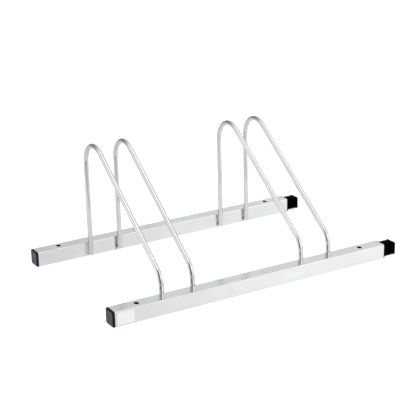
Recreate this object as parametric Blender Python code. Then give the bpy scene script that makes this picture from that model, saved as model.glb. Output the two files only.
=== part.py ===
"""Two-place bicycle floor rack.

Two square steel rails lie on the floor, joined by four hoops of bent round
bar. A tyre stands in the slot between the hoops of a pair. The left ends of
the rails are closed by plastic caps, and the right ends carry ribbed plastic
inserts on which the rails of the next rack slide.

Units are metres, +Z up. The origin is on the floor, in the middle of the
whole rack's outline. +X runs along the rails towards the coupling inserts,
-Y is the front, where the wheel is rolled in.
"""

from math import cos, pi, radians, sin

import bmesh
import bpy
from mathutils import Matrix, Vector

# ---------------------------------------------------------------- dimensions
GAP = 0.0003                 # clearance between touching pieces

TUBE = 0.030                 # outside width and height of the square tube
TUBE_WALL = 0.002
TUBE_R_OUT = 0.0025          # outside corner radius
TUBE_R_IN = 0.0008
RAIL_LENGTH = 0.595
RAIL_SPACING = 0.340         # centre line to centre line
BOLT_HOLE_R = 0.004
BOLT_HOLE_INSET = 0.050      # from the end of the tube

ROD_R = 0.005
ROD_FOOT_Z = 0.005           # height of the sawn ends above the floor
PAIR_PITCH = 0.307           # between the middles of the two pairs
HOOP_SPACING = 0.065         # between the two hoops of a pair
TOP_BEND_Z = 0.200           # height of the centre of the top bend
TOP_BEND_R = 0.042           # to the bar's centre line
LEG_SLOPE = radians(53.0)    # front leg, measured from the vertical
LOW_BEND_R = 0.036

CAP_HEAD = 0.004             # thickness of the cap's head
CAP_SHANK = 0.018
INSERT_OUT = 0.031           # how far the insert stands out of the tube
INSERT_IN = 0.030
INSERT_CORE = 0.0098         # half width of the insert's core
COLLAR = 0.0018              # thickness of the collar that stops at the tube
RIB_FIRST = 0.0067           # first outer rib, from the end of the tube
RIB_PITCH = 0.0054
RIB_THICK = 0.0022
NOSE = 0.0034                # length of the nose, which is the last rib
NOSE_HALF = 0.0129

LABEL_W = 0.034
LABEL_H = 0.024
LABEL_T = 0.0003
LABEL_FROM_END = 0.004

# The rack's outline is longer at the insert end and deeper by the label, so
# the rails' own middle sits off the origin by half the difference.
MID_X = -(INSERT_OUT - GAP - CAP_HEAD) / 2
MID_Y = (GAP + LABEL_T) / 2

END_L = MID_X - RAIL_LENGTH / 2
END_R = MID_X + RAIL_LENGTH / 2
FRONT_Y = MID_Y - RAIL_SPACING / 2
REAR_Y = MID_Y + RAIL_SPACING / 2
MID_Z = TUBE / 2
BORE = TUBE / 2 - TUBE_WALL          # half width of the tube's inside
FIT = BORE - GAP                     # half width of a plug in the tube

HOOP_X = [
    MID_X + side * PAIR_PITCH / 2 + way * HOOP_SPACING / 2
    for side in (-1, 1)
    for way in (-1, 1)
]
# Both feet of a hoop stand against the inner faces of the rails.
ROD_FRONT_Y = FRONT_Y + TUBE / 2 + GAP + ROD_R
ROD_REAR_Y = REAR_Y - TUBE / 2 - GAP - ROD_R

# ---------------------------------------------------------------- collections
for old in list(bpy.data.objects):
    bpy.data.objects.remove(old, do_unlink=True)

rack = bpy.data.collections.new("bike_floor_rack")
tools = bpy.data.collections.new("cutters")
bpy.context.scene.collection.children.link(rack)
bpy.context.scene.collection.children.link(tools)


def material(name, colour, roughness, metallic):
    mat = bpy.data.materials.new(name)
    mat.use_nodes = True
    shader = mat.node_tree.nodes["Principled BSDF"]
    shader.inputs["Base Color"].default_value = (*colour, 1.0)
    shader.inputs["Roughness"].default_value = roughness
    shader.inputs["Metallic"].default_value = metallic
    mat.diffuse_color = (*colour, 1.0)
    return mat


def zinc(name):
    return material(name, (0.72, 0.73, 0.74), 0.22, 1.0)


def black_plastic(name):
    return material(name, (0.018, 0.018, 0.020), 0.45, 0.0)


def as_mesh(curve_object, collection):
    """The curve as a closed mesh object in the same place."""
    bpy.context.view_layer.update()
    graph = bpy.context.evaluated_depsgraph_get()
    mesh = bpy.data.meshes.new_from_object(curve_object.evaluated_get(graph))
    work = bmesh.new()
    work.from_mesh(mesh)
    bmesh.ops.remove_doubles(work, verts=work.verts, dist=1e-6)
    bmesh.ops.recalc_face_normals(work, faces=work.faces)
    work.to_mesh(mesh)
    work.free()
    name = curve_object.name
    place = curve_object.matrix_world.copy()
    curve_object.name = name + "_outline"
    solid = bpy.data.objects.new(name, mesh)
    solid.matrix_world = place
    mesh.name = name
    collection.objects.link(solid)
    bpy.data.objects.remove(curve_object, do_unlink=True)
    return solid


def rounded_square(half, radius, steps):
    """Corner points of a square with rounded corners, counterclockwise."""
    points = []
    for corner in range(4):
        start = corner * pi / 2
        cx = (half - radius) * (1 if corner in (0, 3) else -1)
        cy = (half - radius) * (1 if corner in (0, 1) else -1)
        for i in range(steps + 1):
            a = start + i / steps * pi / 2
            points.append((cx + radius * cos(a), cy + radius * sin(a)))
    return points


def outline_curve(name, outlines, thickness):
    """A flat outline of one or more closed loops, extruded both ways."""
    curve = bpy.data.curves.new(name, "CURVE")
    curve.dimensions = "2D"
    curve.fill_mode = "BOTH"
    curve.extrude = thickness / 2
    for loop in outlines:
        spline = curve.splines.new("POLY")
        spline.points.add(len(loop) - 1)
        for point, (x, y) in zip(spline.points, loop):
            point.co = (x, y, 0.0, 1.0)
        spline.use_cyclic_u = True
    return bpy.data.objects.new(name, curve)


# Turns an outline drawn in XY so that its thickness runs along world X,
# its own X along world Y and its own Y along world Z.
ALONG_X = Matrix(((0, 0, 1, 0), (1, 0, 0, 0), (0, 1, 0, 0), (0, 0, 0, 1)))


def plug_slice(name, x0, x1, y, half, radius, steps, collection):
    """A rounded square block between x0 and x1 on a rail's centre line."""
    piece = outline_curve(name, [rounded_square(half, radius, steps)], x1 - x0)
    collection.objects.link(piece)
    piece.matrix_world = Matrix.Translation(((x0 + x1) / 2, y, MID_Z)) @ ALONG_X
    return as_mesh(piece, collection)


def joined(name, pieces, collection):
    """Separate closed bodies gathered in one mesh object, in world space."""
    work = bmesh.new()
    for piece in pieces:
        piece.data.transform(piece.matrix_world)
        work.from_mesh(piece.data)
    mesh = bpy.data.meshes.new(name)
    work.to_mesh(mesh)
    work.free()
    for piece in pieces:
        bpy.data.objects.remove(piece, do_unlink=True)
    group = bpy.data.objects.new(name, mesh)
    collection.objects.link(group)
    return group


def hide_tool(obj):
    obj.hide_render = True
    obj.display_type = "WIRE"
    return obj


def boolean(target, tool, operation):
    step = target.modifiers.new(operation.lower() + "_" + tool.name, "BOOLEAN")
    step.operation = operation
    step.solver = "EXACT"
    step.object = hide_tool(tool)


def finish(obj, mat, smooth_angle=30.0):
    obj.data.materials.clear()
    obj.data.materials.append(mat)
    obj.data.shade_smooth()
    obj.data.set_sharp_from_angle(angle=radians(smooth_angle))


# ---------------------------------------------------------------- rails
def rail(name, y):
    """Square tube along X with a vertical bolt hole near each end."""
    tube = outline_curve(
        name,
        [
            rounded_square(TUBE / 2, TUBE_R_OUT, 4),
            rounded_square(BORE, TUBE_R_IN, 2),
        ],
        RAIL_LENGTH,
    )
    rack.objects.link(tube)
    tube.matrix_world = Matrix.Translation((MID_X, y, MID_Z)) @ ALONG_X
    tube = as_mesh(tube, rack)
    for tag, x in (
        ("left", END_L + BOLT_HOLE_INSET),
        ("right", END_R - BOLT_HOLE_INSET),
    ):
        mesh = bpy.data.meshes.new(name + "_drill_" + tag)
        work = bmesh.new()
        bmesh.ops.create_cone(
            work,
            cap_ends=True,
            segments=28,
            radius1=BOLT_HOLE_R,
            radius2=BOLT_HOLE_R,
            depth=TUBE * 1.5,
        )
        work.to_mesh(mesh)
        work.free()
        drill = bpy.data.objects.new(name + "_drill_" + tag, mesh)
        drill.location = (x, y, MID_Z)
        tools.objects.link(drill)
        boolean(tube, drill, "DIFFERENCE")
    finish(tube, zinc(name + "_zinc"))
    return tube


rail("front_rail", FRONT_Y)
rail("rear_rail", REAR_Y)


# ---------------------------------------------------------------- hoops
def hoop_path():
    """The bar's centre line in the YZ plane, from the rear foot over the top
    bend and down the sloping leg to the front foot."""
    points = [(ROD_REAR_Y, ROD_FOOT_Z)]
    top = (ROD_REAR_Y - TOP_BEND_R, TOP_BEND_Z)
    turn = pi - LEG_SLOPE
    steps = 11
    for i in range(steps + 1):
        a = turn * i / steps
        points.append((top[0] + TOP_BEND_R * cos(a), top[1] + TOP_BEND_R * sin(a)))
    # The sloping leg meets the vertical of the front foot at this corner,
    # which the low bend rounds off.
    y, z = points[-1]
    run = (y - ROD_FRONT_Y) / sin(LEG_SLOPE)
    corner_z = z - run * cos(LEG_SLOPE)
    tangent = LOW_BEND_R * sin(LEG_SLOPE / 2) / cos(LEG_SLOPE / 2)
    low = (ROD_FRONT_Y + LOW_BEND_R, corner_z - tangent)
    steps = 5
    for i in range(steps + 1):
        a = pi - LEG_SLOPE * (1 - i / steps)
        points.append((low[0] + LOW_BEND_R * cos(a), low[1] + LOW_BEND_R * sin(a)))
    points.append((ROD_FRONT_Y, ROD_FOOT_Z))
    return points


for number, x in enumerate(HOOP_X, 1):
    name = f"hoop_{number}"
    curve = bpy.data.curves.new(name, "CURVE")
    curve.dimensions = "3D"
    curve.bevel_depth = ROD_R
    curve.bevel_resolution = 4
    curve.use_fill_caps = True
    path = hoop_path()
    spline = curve.splines.new("POLY")
    spline.points.add(len(path) - 1)
    for point, (y, z) in zip(spline.points, path):
        point.co = (0.0, y, z, 1.0)
    hoop = bpy.data.objects.new(name, curve)
    hoop.location = (x, 0.0, 0.0)
    rack.objects.link(hoop)
    hoop = as_mesh(hoop, rack)
    finish(hoop, zinc(name + "_zinc"), 40.0)


# ---------------------------------------------------------------- welds
def bead_outline(side, way):
    """Cross-section of a fillet bead in the groove between a round bar and
    the flat face behind it, seen from above. The bar's axis is the local
    origin, the face lies at way * (ROD_R + GAP) along Y."""
    face = ROD_R + GAP
    hollow = ROD_R + GAP * 1.2
    points = []
    for degrees in (68.0, 52.0, 36.0, 21.0):
        a = radians(degrees)
        points.append((hollow * cos(a), hollow * sin(a)))
    points += [(0.0060, 0.0019), (0.0066, 0.0032), (0.0068, face - GAP)]
    outline = [(side * x, way * y) for x, y in points]
    return outline if side * way > 0 else outline[::-1]


BEADS = {"lower": (ROD_FOOT_Z + 0.0002, 0.0090), "upper": (0.0226, 0.0276)}


def weld(name, x, y, way):
    """Four short beads, a lower and an upper one on each side of a foot."""
    for height, (low, high) in BEADS.items():
        for tag, side in (("left", -1), ("right", 1)):
            bead = outline_curve(
                f"{name}_{height}_{tag}", [bead_outline(side, way)], high - low
            )
            rack.objects.link(bead)
            bead.location = (x, y, (low + high) / 2)
            bead = as_mesh(bead, rack)
            finish(bead, material(bead.name + "_metal", (0.42, 0.42, 0.43), 0.5, 1.0))


for number, x in enumerate(HOOP_X, 1):
    weld(f"weld_front_{number}", x, ROD_FRONT_Y, -1)
    weld(f"weld_rear_{number}", x, ROD_REAR_Y, 1)


# ---------------------------------------------------------------- end caps
def end_cap(name, y):
    """Flat head with the tube's outline, and a ribbed shank in the tube."""
    head = plug_slice(
        name, END_L - GAP - CAP_HEAD, END_L - GAP, y, TUBE / 2, TUBE_R_OUT, 4, rack
    )
    shank = plug_slice(
        name + "_shank", END_L - GAP - 0.001, END_L + CAP_SHANK, y, 0.0105, 0.0015, 2, tools
    )
    boolean(head, shank, "UNION")
    ribs = []
    for i in range(3):
        x = END_L + 0.0030 + i * 0.0052
        ribs.append(
            plug_slice(f"{name}_rib_{i + 1}", x, x + 0.0014, y, FIT, 0.0015, 2, tools)
        )
    boolean(head, joined(name + "_ribs", ribs, tools), "UNION")
    finish(head, black_plastic(name + "_plastic"))
    # Its origin is where the cap's axis meets the end of the tube.
    pivot = Vector((END_L, y, MID_Z))
    head.data.transform(Matrix.Translation(-pivot) @ head.matrix_world)
    head.matrix_world = Matrix.Translation(pivot)


end_cap("front_end_cap", FRONT_Y)
end_cap("rear_end_cap", REAR_Y)


# ---------------------------------------------------------------- inserts
def coupling_insert(name, y):
    """Ribbed plug, half of it in the tube and half standing out, with a
    collar between the halves that has the tube's outline. The ribs outside
    have rounder corners than those inside, and the nose is a shade larger."""
    core = plug_slice(
        name, END_R - INSERT_IN, END_R + INSERT_OUT - 0.0012, y, INSERT_CORE, 0.002, 2, rack
    )
    nose = plug_slice(
        name + "_nose", END_R + INSERT_OUT - NOSE, END_R + INSERT_OUT, y, NOSE_HALF, 0.0030, 3, tools
    )
    ribs = [
        plug_slice(
            name + "_collar", END_R + GAP, END_R + GAP + COLLAR, y, TUBE / 2, TUBE_R_OUT, 4, tools
        )
    ]
    # Five ribs inside the tube and four outside; the collar and the nose carry
    # on the same pitch.
    for i in (-6, -5, -4, -3, -2, 0, 1, 2, 3):
        x = END_R + RIB_FIRST + i * RIB_PITCH
        radius = 0.0016 if i < 0 else 0.0030
        ribs.append(
            plug_slice(
                f"{name}_rib_{i + 7}",
                x - RIB_THICK / 2,
                x + RIB_THICK / 2,
                y,
                FIT,
                radius,
                3,
                tools,
            )
        )
    boolean(core, joined(name + "_ribs", ribs, tools), "UNION")
    boolean(core, nose, "UNION")
    finish(core, black_plastic(name + "_plastic"))
    pivot = Vector((END_R, y, MID_Z))
    core.data.transform(Matrix.Translation(-pivot) @ core.matrix_world)
    core.matrix_world = Matrix.Translation(pivot)


coupling_insert("front_coupling_insert", FRONT_Y)
coupling_insert("rear_coupling_insert", REAR_Y)


# ---------------------------------------------------------------- label
def label():
    """Thin blank label on the flat of the front rail's front face."""
    w, h, r = LABEL_W / 2, LABEL_H / 2, 0.0012
    points = []
    for corner in range(4):
        cx = (w - r) * (1 if corner in (0, 3) else -1)
        cy = (h - r) * (1 if corner in (0, 1) else -1)
        for i in range(4):
            a = corner * pi / 2 + i / 3 * pi / 2
            points.append((cx + r * cos(a), cy + r * sin(a)))
    sheet = outline_curve("blank_label", [points], LABEL_T)
    rack.objects.link(sheet)
    # Its own X stays along world X and its own Y goes up.
    sheet.matrix_world = Matrix.Translation(
        (
            END_L + LABEL_FROM_END + w,
            FRONT_Y - TUBE / 2 - GAP - LABEL_T / 2,
            MID_Z + 0.0004,
        )
    ) @ Matrix.Rotation(pi / 2, 4, "X")
    sheet = as_mesh(sheet, rack)
    finish(sheet, material("blank_label_white", (0.86, 0.87, 0.88), 0.4, 0.0))


label()
bpy.context.view_layer.update()
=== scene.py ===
"""Looks of the two-place bicycle floor rack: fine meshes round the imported
frame, bright zinc plate, black moulded plastic and a blank coated label, in a
pale studio."""

from math import cos, hypot, pi, radians, sin, sqrt, tan

import bmesh
import bpy
from mathutils import Matrix, Vector, noise


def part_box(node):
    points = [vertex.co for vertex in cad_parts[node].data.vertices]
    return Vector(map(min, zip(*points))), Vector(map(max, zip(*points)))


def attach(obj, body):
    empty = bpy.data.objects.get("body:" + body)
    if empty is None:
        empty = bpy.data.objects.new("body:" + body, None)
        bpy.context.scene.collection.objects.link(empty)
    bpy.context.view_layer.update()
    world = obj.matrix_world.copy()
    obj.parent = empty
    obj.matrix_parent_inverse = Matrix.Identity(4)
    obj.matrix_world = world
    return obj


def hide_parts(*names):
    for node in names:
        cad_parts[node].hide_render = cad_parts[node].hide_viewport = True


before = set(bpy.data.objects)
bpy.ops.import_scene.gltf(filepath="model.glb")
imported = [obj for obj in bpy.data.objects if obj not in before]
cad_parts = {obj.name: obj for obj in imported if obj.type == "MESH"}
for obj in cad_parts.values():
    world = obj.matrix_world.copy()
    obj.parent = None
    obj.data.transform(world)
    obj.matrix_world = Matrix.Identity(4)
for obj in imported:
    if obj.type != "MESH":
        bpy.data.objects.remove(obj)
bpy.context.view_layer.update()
scene = bpy.context.scene

# ---------------------------------------------------------------- dimensions
GAP = 0.0003
TUBE = 0.030
WALL = 0.002
R_OUT = 0.0022
R_IN = 0.0008
BORE = TUBE / 2 - WALL
FIT = BORE - GAP
ROD_R = 0.005
HOLE_R = 0.004
HOLE_INSET = 0.050
TOP_BEND_Z = 0.200
TOP_BEND_R = 0.042
LEG_SLOPE = radians(53.0)
LOW_BEND_R = 0.036
FOOT_Z = 0.005

low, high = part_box("front_rail")
END_L, END_R = low.x, high.x
FRONT_Y = (low.y + high.y) / 2
low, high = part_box("rear_rail")
REAR_Y = (low.y + high.y) / 2
MID_Z = TUBE / 2
HOOP_X = []
for number in range(1, 5):
    low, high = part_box(f"hoop_{number}")
    HOOP_X.append((low.x + high.x) / 2)
ROD_FRONT_Y = FRONT_Y + TUBE / 2 + GAP + ROD_R
ROD_REAR_Y = REAR_Y - TUBE / 2 - GAP - ROD_R


# ---------------------------------------------------------------- node helpers
class Graph:
    """Short names for building a node tree."""

    def __init__(self, tree):
        self.tree = tree
        self.nodes = tree.nodes
        self.links = tree.links

    def add(self, kind, **settings):
        node = self.nodes.new(kind)
        for key, value in settings.items():
            setattr(node, key, value)
        return node

    def wire(self, value, socket):
        if isinstance(value, bpy.types.NodeSocket):
            self.links.new(value, socket)
        else:
            socket.default_value = value

    def math(self, operation, a, b=0.0, c=0.0, clamp=False):
        node = self.add("ShaderNodeMath", operation=operation, use_clamp=clamp)
        for value, socket in zip((a, b, c), node.inputs):
            self.wire(value, socket)
        return node.outputs[0]

    def dot(self, vector, other):
        node = self.add("ShaderNodeVectorMath", operation="DOT_PRODUCT")
        self.wire(vector, node.inputs[0])
        self.wire(other, node.inputs[1])
        return node.outputs["Value"]

    def vector_math(self, operation, a, b):
        node = self.add("ShaderNodeVectorMath", operation=operation)
        self.wire(a, node.inputs[0])
        self.wire(b, node.inputs[1])
        return node.outputs[0]

    def split(self, vector):
        node = self.add("ShaderNodeSeparateXYZ")
        self.wire(vector, node.inputs[0])
        return node.outputs[0], node.outputs[1], node.outputs[2]

    def join(self, x, y, z):
        node = self.add("ShaderNodeCombineXYZ")
        for value, socket in zip((x, y, z), node.inputs):
            self.wire(value, socket)
        return node.outputs[0]

    def ramp(self, value, low, high, out_low=0.0, out_high=1.0, smooth=True):
        node = self.add(
            "ShaderNodeMapRange",
            interpolation_type="SMOOTHSTEP" if smooth else "LINEAR",
            clamp=True,
        )
        for v, socket in zip((value, low, high, out_low, out_high), node.inputs):
            self.wire(v, socket)
        return node.outputs[0]

    def noise(self, vector, scale, detail=2.0, roughness=0.5, distortion=0.0):
        node = self.add("ShaderNodeTexNoise", noise_dimensions="3D")
        self.wire(vector, node.inputs["Vector"])
        self.wire(scale, node.inputs["Scale"])
        self.wire(detail, node.inputs["Detail"])
        self.wire(roughness, node.inputs["Roughness"])
        self.wire(distortion, node.inputs["Distortion"])
        return node.outputs["Fac"]

    def cells(self, vector, scale, feature="F1"):
        node = self.add("ShaderNodeTexVoronoi", feature=feature)
        self.wire(vector, node.inputs["Vector"])
        self.wire(scale, node.inputs["Scale"])
        return node.outputs["Distance"], (
            node.outputs["Color"] if feature != "DISTANCE_TO_EDGE" else None
        )

    def mix(self, factor, a, b):
        node = self.add("ShaderNodeMix", data_type="RGBA")
        self.wire(factor, node.inputs["Factor"])
        self.wire(a, [s for s in node.inputs if s.name == "A" and s.type == "RGBA"][0])
        self.wire(b, [s for s in node.inputs if s.name == "B" and s.type == "RGBA"][0])
        return [s for s in node.outputs if s.type == "RGBA"][0]

    def bump(self, height, distance, strength=1.0, normal=None):
        node = self.add("ShaderNodeBump")
        node.inputs["Strength"].default_value = strength
        node.inputs["Distance"].default_value = distance
        self.wire(height, node.inputs["Height"])
        if normal is not None:
            self.wire(normal, node.inputs["Normal"])
        return node.outputs["Normal"]


def new_material(name):
    mat = bpy.data.materials.new(name)
    mat.use_nodes = True
    graph = Graph(mat.node_tree)
    return mat, graph, graph.nodes["Principled BSDF"]


# ---------------------------------------------------------------- materials
def zinc_tube(name, seam_y, marks):
    """Bright zinc on rolled tube: a faint cloudy sheen, rolling lines along
    X, small scuffs, and dull heat marks at the welds; beside the rear bars
    the marks are partly painted shade. The plating doesn't reach the inside
    and the walls of the bolt holes, which are painted near black, a painted
    shade as well, with a painted dark ring of hole shade round each hole on
    the top and bottom faces. The top corners are painted darker towards the
    left, a painted shade that dims their highlight. The marks are a list of
    (x, half width, strength)."""
    mat, g, shader = new_material(name)
    place = g.add("ShaderNodeTexCoord").outputs["Object"]
    x, y, z = g.split(place)
    lines = g.noise(g.vector_math("MULTIPLY", place, (5.0, 520.0, 520.0)), 1.0, 3.0, 0.6)
    fine = g.noise(g.vector_math("MULTIPLY", place, (22.0, 2400.0, 2400.0)), 1.0, 2.0)
    clouds = g.noise(place, 17.0, 4.0, 0.55, 0.4)
    specks = g.noise(place, 900.0, 3.0, 0.6)
    # short scuffs along and across the tube
    scuff = g.noise(g.vector_math("MULTIPLY", place, (60.0, 900.0, 900.0)), 1.0, 5.0, 0.75, 0.3)
    scuff = g.math(
        "MULTIPLY", g.ramp(scuff, 0.60, 0.72), g.ramp(g.noise(place, 38.0, 2.0), 0.50, 0.64)
    )
    # heat marks near the feet of the hoops, on the faces they stand against; beside the rear bars they are
    # partly painted shade
    blur = g.math("MULTIPLY", g.math("SUBTRACT", g.noise(place, 160.0, 3.0), 0.5), 0.004)
    heat_tint_and_shade = 0.0
    for centre, half, strength in marks:
        away = g.math("ABSOLUTE", g.math("SUBTRACT", g.math("ADD", x, blur), centre))
        heat_tint_and_shade = g.math("ADD", heat_tint_and_shade, g.ramp(away, half, half * 0.35, 0.0, strength))
    inner = g.ramp(g.math("ABSOLUTE", y), 0.1572, 0.1556)
    heat_tint_and_shade = g.math("MULTIPLY", g.math("MINIMUM", heat_tint_and_shade, 1.0), inner)
    # bare, oily steel inside and in the bolt holes, painted near black, which also paints their shade
    across = g.math(
        "MAXIMUM",
        g.math("ABSOLUTE", g.math("SUBTRACT", y, seam_y)),
        g.math("ABSOLUTE", g.math("SUBTRACT", z, MID_Z)),
    )
    bare_and_shaded = g.ramp(across, 0.01335, 0.01310)
    drilled_and_shaded = None
    for centre in (END_L + HOLE_INSET, END_R - HOLE_INSET):
        off = g.vector_math("SUBTRACT", g.join(x, y, 0.0), (centre, seam_y, 0.0))
        off = g.math("SQRT", g.dot(off, off))
        drilled_and_shaded = off if drilled_and_shaded is None else g.math("MINIMUM", drilled_and_shaded, off)
    drilled_and_shaded = g.math(
        "MULTIPLY",
        g.ramp(drilled_and_shaded, 0.00480, 0.00460),
        g.ramp(g.math("ABSOLUTE", g.math("SUBTRACT", z, MID_Z)), 0.01499, 0.01495),
    )
    bare_and_shaded = g.math("MAXIMUM", bare_and_shaded, drilled_and_shaded)
    # painted shade: a dark ring round each bolt hole on the top and bottom faces, wider across the tube than
    # along it, that stands in for the hole's shade
    hole_shade_ring = None
    for centre in (END_L + HOLE_INSET, END_R - HOLE_INSET):
        off = g.vector_math("SUBTRACT", g.join(x, y, 0.0), (centre, seam_y, 0.0))
        off = g.vector_math("MULTIPLY", off, (1.0, 0.80, 0.0))
        off = g.math("SQRT", g.dot(off, off))
        hole_shade_ring = off if hole_shade_ring is None else g.math("MINIMUM", hole_shade_ring, off)
    hole_shade_ring = g.math("ADD", hole_shade_ring, g.math("MULTIPLY", g.math("SUBTRACT", clouds, 0.5), 0.0008))
    hole_shade_ring = g.math(
        "MULTIPLY",
        g.ramp(hole_shade_ring, 0.00490, 0.00430),
        g.ramp(g.math("ABSOLUTE", g.math("SUBTRACT", z, MID_Z)), 0.01490, 0.01497),
    )
    bare_and_shaded = g.math("MAXIMUM", bare_and_shaded, hole_shade_ring)

    body = g.mix(
        g.ramp(clouds, 0.30, 0.72), (0.765, 0.772, 0.786, 1.0), (0.728, 0.732, 0.742, 1.0)
    )
    body = g.mix(
        g.math("MULTIPLY", g.ramp(lines, 0.44, 0.78), 0.45), body, (0.68, 0.685, 0.70, 1.0)
    )
    body = g.mix(g.math("MULTIPLY", scuff, 0.5), body, (0.60, 0.605, 0.62, 1.0))
    # painted shade: darker plate along the top corners, strongest on the left, that dims their highlight there
    edge = g.math(
        "MINIMUM", g.math("ABSOLUTE", g.math("SUBTRACT", y, seam_y)), g.math("SUBTRACT", z, MID_Z)
    )
    edge = g.math("MULTIPLY", g.ramp(edge, 0.0127, 0.0134), g.ramp(x, 0.06, -0.16, 0.0, 0.64))
    body = g.mix(edge, body, (0.52, 0.525, 0.535, 1.0))
    # heat tint at the welds; beside the rear bars it is partly painted shade
    body = g.mix(g.math("MULTIPLY", heat_tint_and_shade, 0.75), body, (0.33, 0.315, 0.30, 1.0))
    # painted shade: bare steel inside, in the bolt holes and in the rings round them is painted near black
    body = g.mix(
        g.math("MULTIPLY", bare_and_shaded, g.ramp(specks, 0.2, 0.8, 1.0, 0.97)), body, (0.006, 0.005, 0.005, 1.0)
    )
    g.wire(body, shader.inputs["Base Color"])
    g.wire(g.math("SUBTRACT", 1.0, bare_and_shaded), shader.inputs["Metallic"])
    shader.inputs["Specular IOR Level"].default_value = 0.0
    rough = g.math("ADD", g.ramp(lines, 0.25, 0.8, 0.125, 0.185), g.math("MULTIPLY", scuff, 0.14))
    rough = g.math("ADD", rough, g.ramp(clouds, 0.3, 0.75, 0.0, 0.045))
    rough = g.math("ADD", rough, g.math("MULTIPLY", heat_tint_and_shade, 0.10))
    rough = g.math("ADD", rough, g.math("MULTIPLY", bare_and_shaded, 0.35))
    g.wire(rough, shader.inputs["Roughness"])
    # the tube's own weld line, ground flat, down the middle of its underside
    seam = g.ramp(g.math("ABSOLUTE", g.math("SUBTRACT", y, seam_y)), 0.0, 0.0012, 1.0, 0.0)
    seam = g.math("MULTIPLY", seam, g.ramp(z, 0.0015, 0.0005))
    relief = g.math("ADD", g.math("MULTIPLY", fine, 0.35), g.math("MULTIPLY", lines, 0.5))
    relief = g.math("ADD", relief, g.math("MULTIPLY", specks, 0.25))
    relief = g.math("ADD", relief, g.math("MULTIPLY", scuff, -0.9))
    relief = g.math("ADD", relief, g.math("MULTIPLY", seam, g.math("ADD", 1.5, fine)))
    g.wire(g.bump(relief, 0.000009, 0.6), shader.inputs["Normal"])
    return mat


def zinc_bar(name):
    """Bright zinc on drawn bar, a little duller than the tube: drawing lines
    along the bar and tool rubs at the bends. The texture runs in the bar's own
    straightened space, kept on the mesh as the attribute "straight"."""
    mat, g, shader = new_material(name)
    attribute = g.add("ShaderNodeAttribute", attribute_name="straight")
    place = attribute.outputs["Vector"]
    bend = g.add("ShaderNodeAttribute", attribute_name="bend").outputs["Fac"]
    lines = g.noise(g.vector_math("MULTIPLY", place, (620.0, 620.0, 5.0)), 1.0, 3.0, 0.6)
    fine = g.noise(g.vector_math("MULTIPLY", place, (2600.0, 2600.0, 26.0)), 1.0, 2.0)
    clouds = g.noise(g.vector_math("MULTIPLY", place, (60.0, 60.0, 24.0)), 1.0, 4.0, 0.55, 0.3)
    specks = g.noise(place, 1100.0, 3.0, 0.6)
    rub = g.noise(g.vector_math("MULTIPLY", place, (420.0, 420.0, 110.0)), 1.0, 4.0, 0.7)
    rub = g.math("MULTIPLY", g.ramp(rub, 0.50, 0.66), bend)
    nick = g.noise(g.vector_math("MULTIPLY", place, (500.0, 500.0, 90.0)), 1.0, 4.0, 0.7, 0.2)
    nick = g.math(
        "MULTIPLY",
        g.ramp(nick, 0.63, 0.72),
        g.ramp(g.noise(g.vector_math("ADD", place, (3.1, 1.7, 0.4)), 30.0, 2.0), 0.50, 0.64),
    )
    body = g.mix(
        g.ramp(clouds, 0.30, 0.72), (0.655, 0.658, 0.662, 1.0), (0.615, 0.617, 0.622, 1.0)
    )
    body = g.mix(
        g.math("MULTIPLY", g.ramp(lines, 0.44, 0.78), 0.5), body, (0.55, 0.552, 0.56, 1.0)
    )
    body = g.mix(g.math("MULTIPLY", bend, 0.10), body, (0.36, 0.36, 0.365, 1.0))
    body = g.mix(g.math("MULTIPLY", rub, 0.35), body, (0.50, 0.50, 0.505, 1.0))
    body = g.mix(g.math("MULTIPLY", nick, 0.5), body, (0.47, 0.47, 0.475, 1.0))
    g.wire(body, shader.inputs["Base Color"])
    shader.inputs["Metallic"].default_value = 1.0
    rough = g.math("ADD", g.ramp(lines, 0.25, 0.8, 0.085, 0.125), g.math("MULTIPLY", rub, 0.10))
    rough = g.math("ADD", rough, g.math("MULTIPLY", nick, 0.15))
    g.wire(rough, shader.inputs["Roughness"])
    relief = g.math("ADD", g.math("MULTIPLY", fine, 0.3), g.math("MULTIPLY", lines, 0.5))
    relief = g.math("ADD", relief, g.math("MULTIPLY", specks, 0.25))
    relief = g.math("ADD", relief, g.math("MULTIPLY", g.math("ADD", rub, nick), -0.8))
    g.wire(g.bump(relief, 0.000007, 0.6), shader.inputs["Normal"])
    return mat


def weld_bead(name, low, high, spots=()):
    """Rough zinc over a weld: darker and brownish in the hollows, brighter on
    the crests. Spots (x, z, radius) are burnt black, which also paints the
    shade of the gap where the bar meets the rail."""
    mat, g, shader = new_material(name)
    place = g.add("ShaderNodeTexCoord").outputs["Object"]
    lumps = g.noise(place, 650.0, 4.0, 0.6, 0.5)
    grit = g.noise(place, 3200.0, 3.0, 0.65)
    crest = g.add("ShaderNodeAttribute", attribute_name="crest").outputs["Fac"]
    tone = g.math("ADD", g.math("MULTIPLY", lumps, 0.7), g.math("MULTIPLY", crest, 0.35))
    body = g.mix(g.ramp(tone, 0.30, 0.72), (*low, 1.0), (*high, 1.0))
    rough = g.ramp(tone, 0.30, 0.75, 0.52, 0.32)
    if spots:
        x, y, z = g.split(place)
        burnt_and_shade = None
        for px, pz, radius in spots:
            off = g.vector_math("SUBTRACT", g.join(x, 0.0, z), (px, 0.0, pz))
            off = g.math("SQRT", g.dot(off, off))
            off = g.math("ADD", off, g.math("MULTIPLY", g.math("SUBTRACT", lumps, 0.5), 0.0010))
            spot = g.ramp(off, radius, radius * 0.45)
            burnt_and_shade = spot if burnt_and_shade is None else g.math("MAXIMUM", burnt_and_shade, spot)
        # burnt black spots, also painted shade at the bead's ends
        body = g.mix(burnt_and_shade, body, (0.020, 0.018, 0.017, 1.0))
        rough = g.math("ADD", rough, g.math("MULTIPLY", burnt_and_shade, 0.25))
    g.wire(body, shader.inputs["Base Color"])
    shader.inputs["Metallic"].default_value = 1.0
    g.wire(rough, shader.inputs["Roughness"])
    relief = g.math("ADD", g.math("MULTIPLY", lumps, 1.0), g.math("MULTIPLY", grit, 0.35))
    g.wire(g.bump(relief, 0.00012, 0.7), shader.inputs["Normal"])
    return mat


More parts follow.
